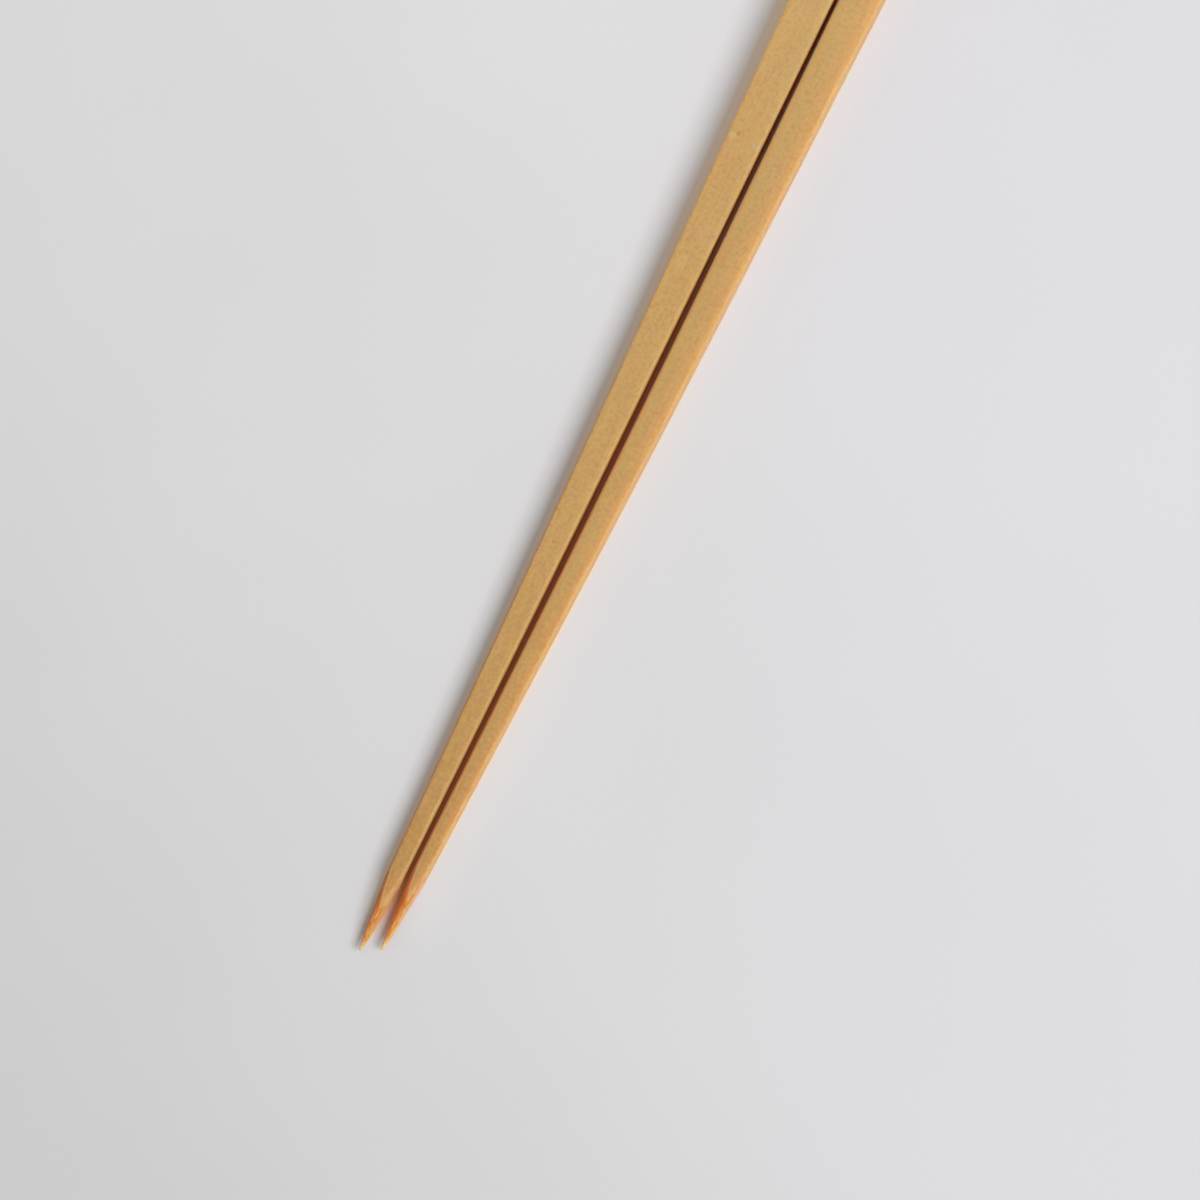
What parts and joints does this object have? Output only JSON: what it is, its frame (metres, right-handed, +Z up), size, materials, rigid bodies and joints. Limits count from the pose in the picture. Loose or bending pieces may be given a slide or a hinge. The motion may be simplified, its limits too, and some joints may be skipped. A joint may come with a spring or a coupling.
{
  "type": "pair of chopsticks",
  "caption": "Square, tapered bamboo chopsticks with sharpened points, lying side by side, for picking up food.",
  "frame": {"origin": "on the surface the sticks lie on, under the middle of the pair's footprint", "axes": "+Y along the sticks, from the points to the butts; +Z up from the surface; +X from the left stick to the right one"},
  "size_m": [0.0158, 0.2264, 0.0069],
  "materials": {
    "bamboo": "planed bare bamboo with fine lengthwise grain, satin, rougher and more orange at the sharpened points"
  },
  "bodies": {
    "root": {"left_chopstick": "bamboo", "right_chopstick": "bamboo"}
  },
  "joints": []
}
